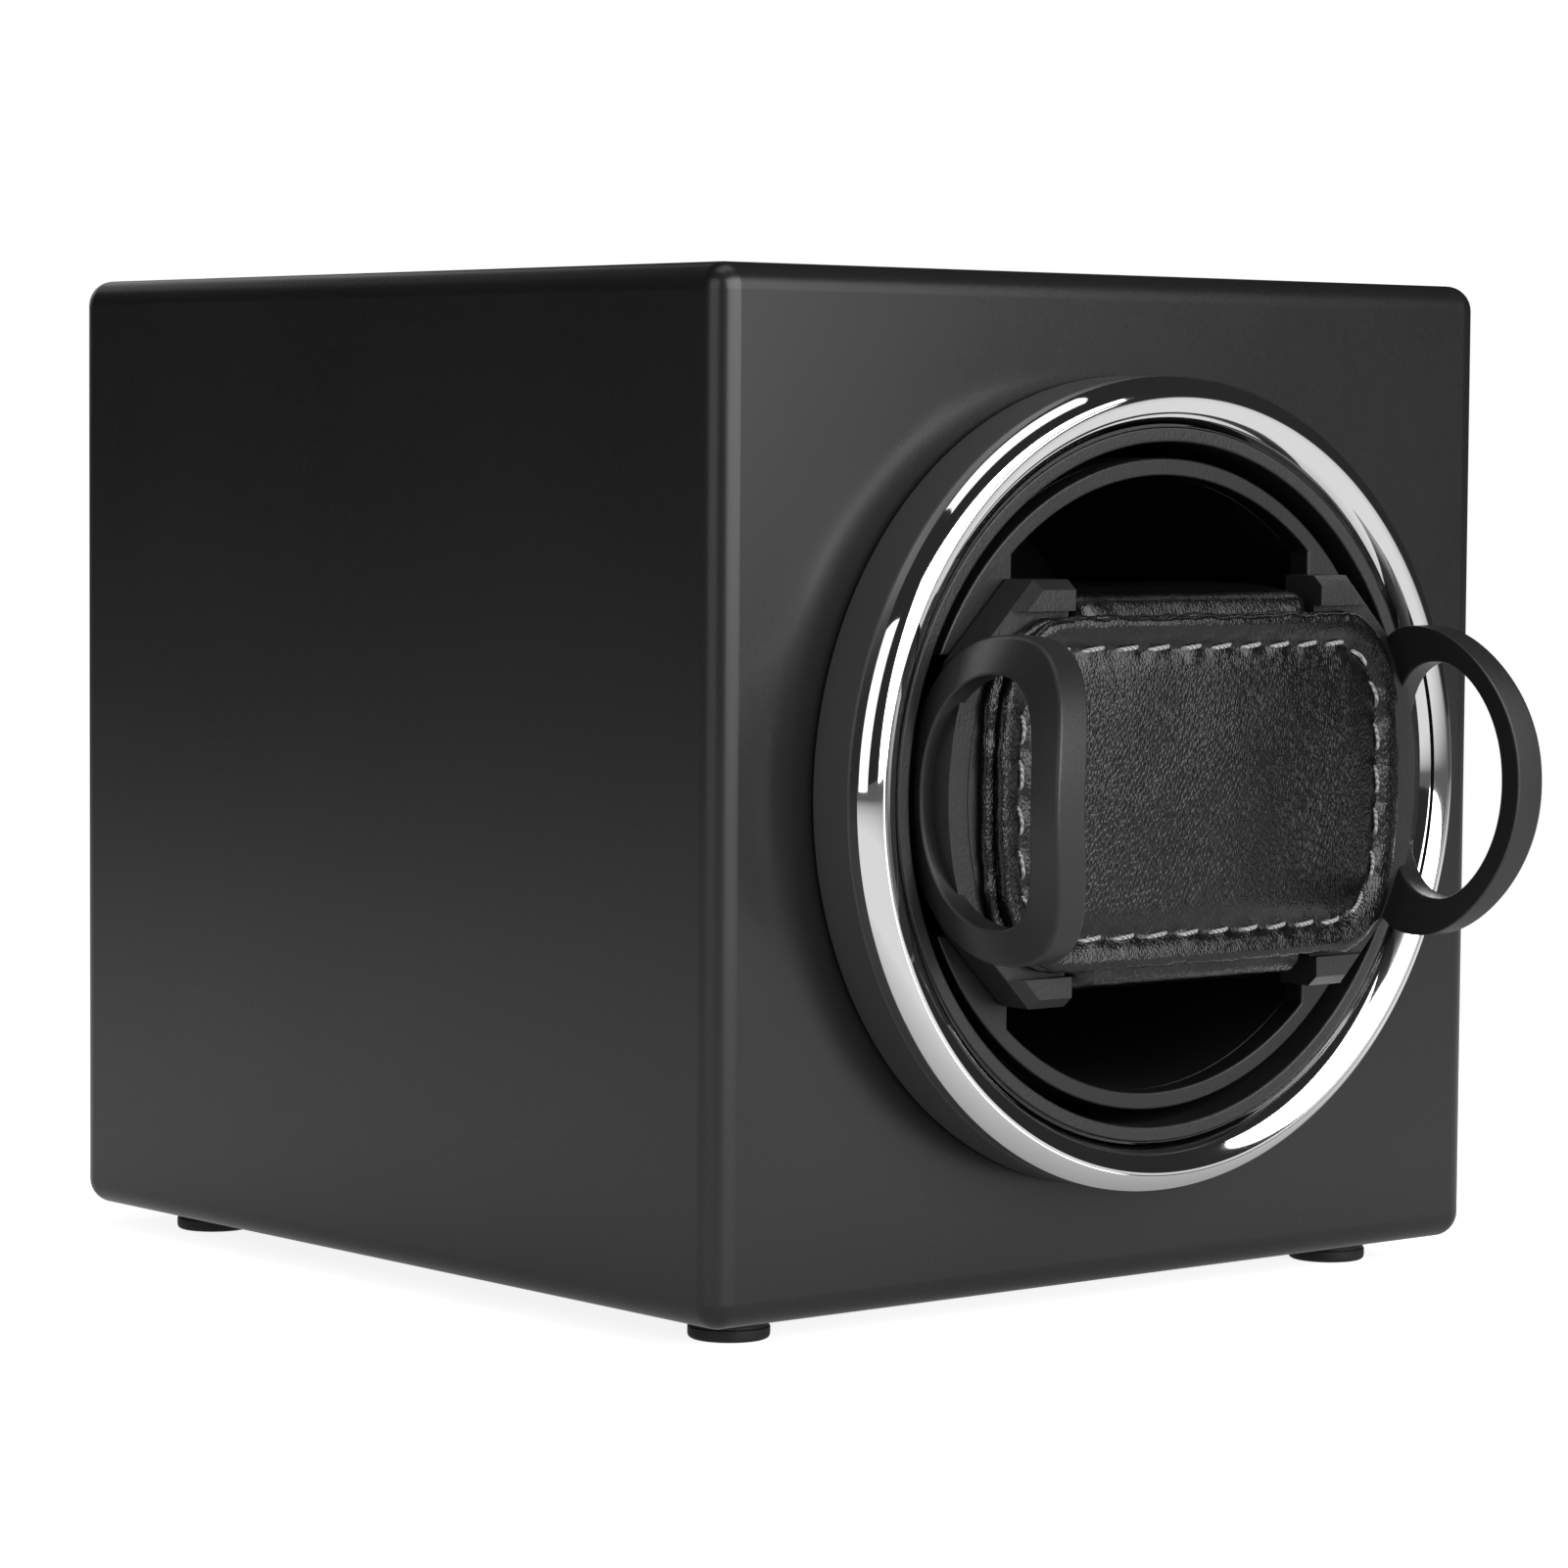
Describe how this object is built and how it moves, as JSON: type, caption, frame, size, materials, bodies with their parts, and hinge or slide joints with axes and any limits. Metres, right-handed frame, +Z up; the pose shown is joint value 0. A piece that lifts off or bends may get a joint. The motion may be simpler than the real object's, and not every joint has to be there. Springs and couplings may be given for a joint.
{
  "type": "watch winder box",
  "caption": "Cube case with a chrome-ringed round mouth, a motor-driven rotor cup and a removable leather watch holder with finger loops.",
  "frame": {"origin": "on the ground, under the middle of the whole object with its finger loops and its knob", "axes": "+Z up, the front with the mouth faces -Y, +X to the right as seen from the front"},
  "size_m": [0.118, 0.1662, 0.118],
  "materials": {
    "black_lacquer": "matte lacquer",
    "corner_wood": "sawn",
    "black_panel": "fine grain",
    "black_rubber": "matte",
    "screw_steel": "zinc plated",
    "black_screw": "blackened",
    "base_ring_black": "satin",
    "chrome": "polished",
    "trim_black": "textured",
    "rotor_black": "satin",
    "holder_black": "fine grain",
    "loop_black": "satin",
    "black_leather": "grained",
    "chassis_plastic": "moulded",
    "gear_white": "moulded nylon",
    "bush_bronze": "sintered",
    "shaft_steel": "ground",
    "motor_steel": "zinc plated",
    "motor_plastic": "moulded",
    "terminal_brass": "bright",
    "magnet_grey": "sintered ferrite",
    "armature_steel": "laminated",
    "board_green": "solder mask",
    "chip_black": "moulded",
    "capacitor_sleeve": "sleeved",
    "switch_black": "moulded",
    "knob_black": "moulded"
  },
  "bodies": {
    "frame": {"case_shell": "black_lacquer", "case_corner_blocks": "corner_wood", "back_panel": "black_panel", "back_panel_screws": "black_screw", "foot_front_left": "black_rubber", "foot_front_right": "black_rubber", "foot_rear_left": "black_rubber", "foot_rear_right": "black_rubber", "foot_screws": "screw_steel", "bezel_base_ring": "base_ring_black", "chrome_bezel": "chrome", "trim_ring": "trim_black", "chassis_plate": "chassis_plastic", "chassis_posts": "chassis_plastic", "chassis_screws": "screw_steel", "rotor_bush": "bush_bronze", "idler_pin": "shaft_steel", "idler_collar": "gear_white", "idler_clip": "black_screw", "motor_can": "motor_steel", "motor_end_cap": "motor_plastic", "motor_terminals": "terminal_brass", "motor_magnets": "magnet_grey", "motor_screws": "screw_steel", "control_board": "board_green", "control_chip": "chip_black", "board_capacitors": "capacitor_sleeve", "board_standoffs": "gear_white", "board_screws": "screw_steel", "power_socket": "chip_black", "power_socket_pin": "terminal_brass", "mode_switch_body": "switch_black", "power_switch_housing": "switch_black"},
    "rotor": {"rotor_cup": "rotor_black", "rotor_back": "rotor_black", "rotor_front_plate": "rotor_black", "rotor_shaft": "shaft_steel", "output_gear": "gear_white", "rotor_clip": "black_screw"},
    "idler": {"idler_gear": "gear_white"},
    "motor_spindle": {"motor_shaft": "shaft_steel", "motor_armature": "armature_steel", "motor_pinion": "terminal_brass"},
    "holder": {"holder_core": "chassis_plastic", "holder_guide_rods": "shaft_steel", "rear_pillow": "black_leather", "front_pad": "black_leather"},
    "left_clamp": {"left_end_cap": "holder_black", "left_finger_loop": "loop_black"},
    "right_clamp": {"right_end_cap": "holder_black", "right_finger_loop": "loop_black"},
    "mode_control": {"mode_shaft": "shaft_steel", "mode_knob": "knob_black"},
    "rocker": {"power_rocker": "switch_black"}
  },
  "joints": [
    {"name": "rotor_turn", "type": "hinge", "parent": "frame", "child": "rotor", "pos_m": [0, -0.0097, 0.0605], "axis": [0, 1, 0], "continuous": true},
    {"name": "idler_turn", "type": "hinge", "parent": "frame", "child": "idler", "pos_m": [0.01469, 0.0053, 0.0348], "axis": [0, 1, 0], "continuous": true},
    {"name": "motor_turn", "type": "hinge", "parent": "frame", "child": "motor_spindle", "pos_m": [0.03658, 0.0053, 0.02496], "axis": [0, 1, 0], "continuous": true},
    {"name": "holder_pull", "type": "slide", "parent": "rotor", "child": "holder", "axis": [0, -1, 0], "range_m": [0, 0.03]},
    {"name": "left_squeeze", "type": "slide", "parent": "holder", "child": "left_clamp", "axis": [1, 0, 0], "range_m": [0, 0.002], "stiffness_N_per_m": 800, "springref_m": -0.002, "deforming": ["rear_pillow"]},
    {"name": "right_squeeze", "type": "slide", "parent": "holder", "child": "right_clamp", "axis": [-1, 0, 0], "range_m": [0, 0.002], "stiffness_N_per_m": 800, "springref_m": -0.002, "deforming": ["rear_pillow"]},
    {"name": "mode_turn", "type": "hinge", "parent": "frame", "child": "mode_control", "pos_m": [0.024, 0.0703, 0.024], "axis": [0, -1, 0], "range_deg": [0, 90]},
    {"name": "power_rock", "type": "hinge", "parent": "frame", "child": "rocker", "pos_m": [0, 0.07294, 0.088], "axis": [1, 0, 0], "range_deg": [0, 18]}
  ],
  "couplings": [
    {"joint": "idler_turn", "follows": "rotor_turn", "ratio": -4.2857},
    {"joint": "motor_turn", "follows": "rotor_turn", "ratio": 17.143}
  ]
}
